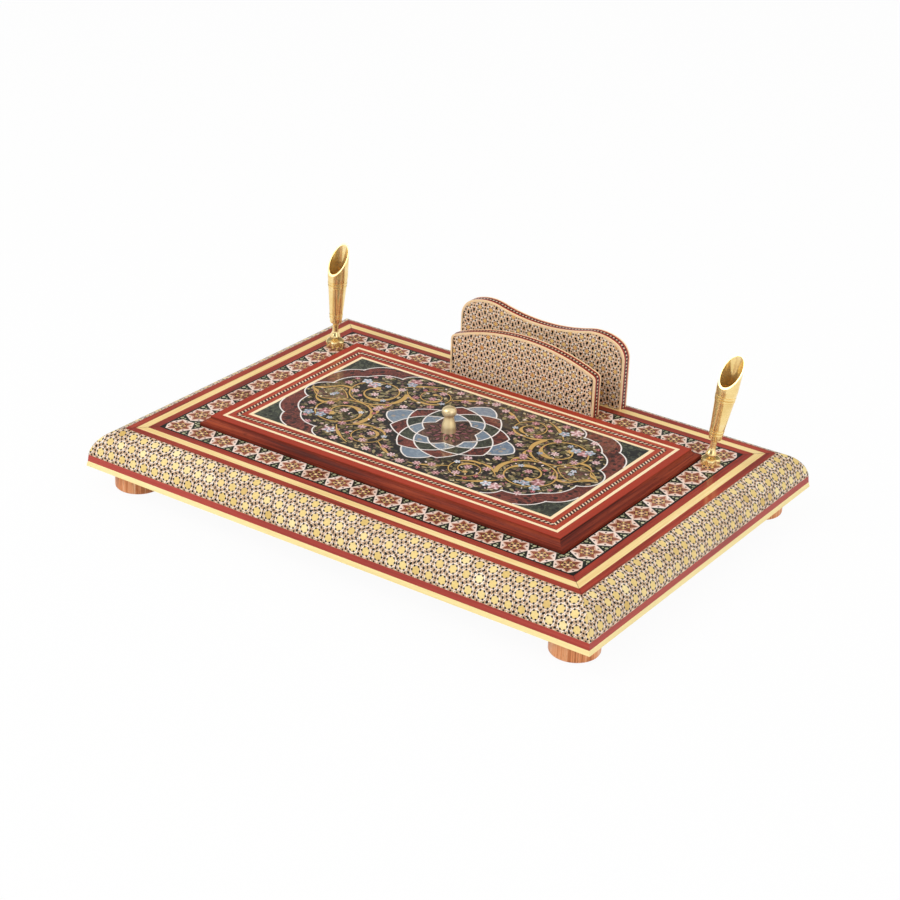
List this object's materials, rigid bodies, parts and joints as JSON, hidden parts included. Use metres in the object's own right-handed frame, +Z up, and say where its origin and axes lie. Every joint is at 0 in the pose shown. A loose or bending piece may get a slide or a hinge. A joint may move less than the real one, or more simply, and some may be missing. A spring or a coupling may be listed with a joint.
{
  "type": "pen box",
  "caption": "Inlaid wooden desk box on round feet, with a lift-off knobbed lid over a storage well, a two-board letter rack and two swivelling brass pen funnels.",
  "frame": {"origin": "on the table, under the middle of the base", "axes": "+X along the long front side to the right, +Y from the front to the letter rack, +Z up"},
  "size_m": [0.4, 0.2852, 0.121],
  "materials": {
    "plywood": "plain sanded plywood",
    "carcass_wood": "plain planed hardwood",
    "moulding_khatam": "lacquered inlay of small golden stars, white rings and dark dots",
    "red_wood": "lacquered red wood",
    "cream_wood": "lacquered pale wood",
    "star_inlay": "lacquered inlay of brown six-point stars in linked hexagons",
    "checker_inlay": "lacquered fine black, white and red checker",
    "rack_khatam": "lacquered inlay of small brown stars",
    "painted_panel": "painted dark panel with gold scrolls and a blue-grey centre, lacquered",
    "foot_wood": "varnished orange-brown wood",
    "lining": "dark red felt",
    "satin_brass": "satin",
    "polished_brass": "polished",
    "steel": "zinc plated"
  },
  "bodies": {
    "base": {"bottom_board": "plywood", "carcass_rail_back": "carcass_wood", "carcass_rail_front": "carcass_wood", "carcass_rail_left": "carcass_wood", "carcass_rail_right": "carcass_wood", "deck_board": "plywood", "deck_field": "red_wood", "deck_red_bands": "red_wood", "deck_yellow_line": "cream_wood", "foot_back_left": "foot_wood", "foot_back_right": "foot_wood", "foot_front_left": "foot_wood", "foot_front_right": "foot_wood", "foot_screws": "steel", "left_holder_base": "polished_brass", "moulding_back": "carcass_wood", "moulding_cream_strip": "cream_wood", "moulding_front": "carcass_wood", "moulding_khatam_back": "moulding_khatam", "moulding_khatam_front": "moulding_khatam", "moulding_khatam_left": "moulding_khatam", "moulding_khatam_right": "moulding_khatam", "moulding_left": "carcass_wood", "moulding_red_band": "red_wood", "moulding_right": "carcass_wood", "rack_back_core": "carcass_wood", "rack_back_cream_lines": "cream_wood", "rack_back_edge_band": "checker_inlay", "rack_back_khatam": "rack_khatam", "rack_dowels": "carcass_wood", "rack_front_core": "carcass_wood", "rack_front_cream_lines": "cream_wood", "rack_front_edge_band": "checker_inlay", "rack_front_khatam": "rack_khatam", "right_holder_base": "polished_brass", "star_band": "star_inlay", "well_lining": "lining", "well_wall_back": "carcass_wood", "well_wall_front": "carcass_wood", "well_wall_left": "carcass_wood", "well_wall_right": "carcass_wood"},
    "lid": {"lid_battens": "carcass_wood", "lid_checker_band": "checker_inlay", "lid_core": "carcass_wood", "lid_cream_lines": "cream_wood", "lid_panel": "painted_panel", "lid_rail_back": "red_wood", "lid_rail_front": "red_wood", "lid_rail_left": "red_wood", "lid_rail_right": "red_wood", "lid_red_lines": "red_wood", "knob": "satin_brass", "knob_screw": "steel"},
    "left_swivel": {"left_ball_stud": "polished_brass", "left_lock_nut": "steel"},
    "left_holder": {"left_funnel": "polished_brass"},
    "right_swivel": {"right_ball_stud": "polished_brass", "right_lock_nut": "steel"},
    "right_holder": {"right_funnel": "polished_brass"}
  },
  "joints": [
    {"name": "lid_lift", "type": "slide", "parent": "base", "child": "lid", "axis": [0, 0, 1], "range_m": [0, 0.09]},
    {"name": "left_holder_turn", "type": "hinge", "parent": "base", "child": "left_swivel", "pos_m": [-0.1602, 0.0799, 0.0509], "axis": [0, 0, 1], "continuous": true},
    {"name": "left_holder_tilt", "type": "hinge", "parent": "left_swivel", "child": "left_holder", "pos_m": [-0.1602, 0.0799, 0.0509], "axis": [0, 1, 0], "range_deg": [-27, 23]},
    {"name": "right_holder_turn", "type": "hinge", "parent": "base", "child": "right_swivel", "pos_m": [0.154, 0.0816, 0.0509], "axis": [0, 0, 1], "continuous": true},
    {"name": "right_holder_tilt", "type": "hinge", "parent": "right_swivel", "child": "right_holder", "pos_m": [0.154, 0.0816, 0.0509], "axis": [-0.5592, 0.829, 0], "range_deg": [-32.9, 17.1]}
  ]
}
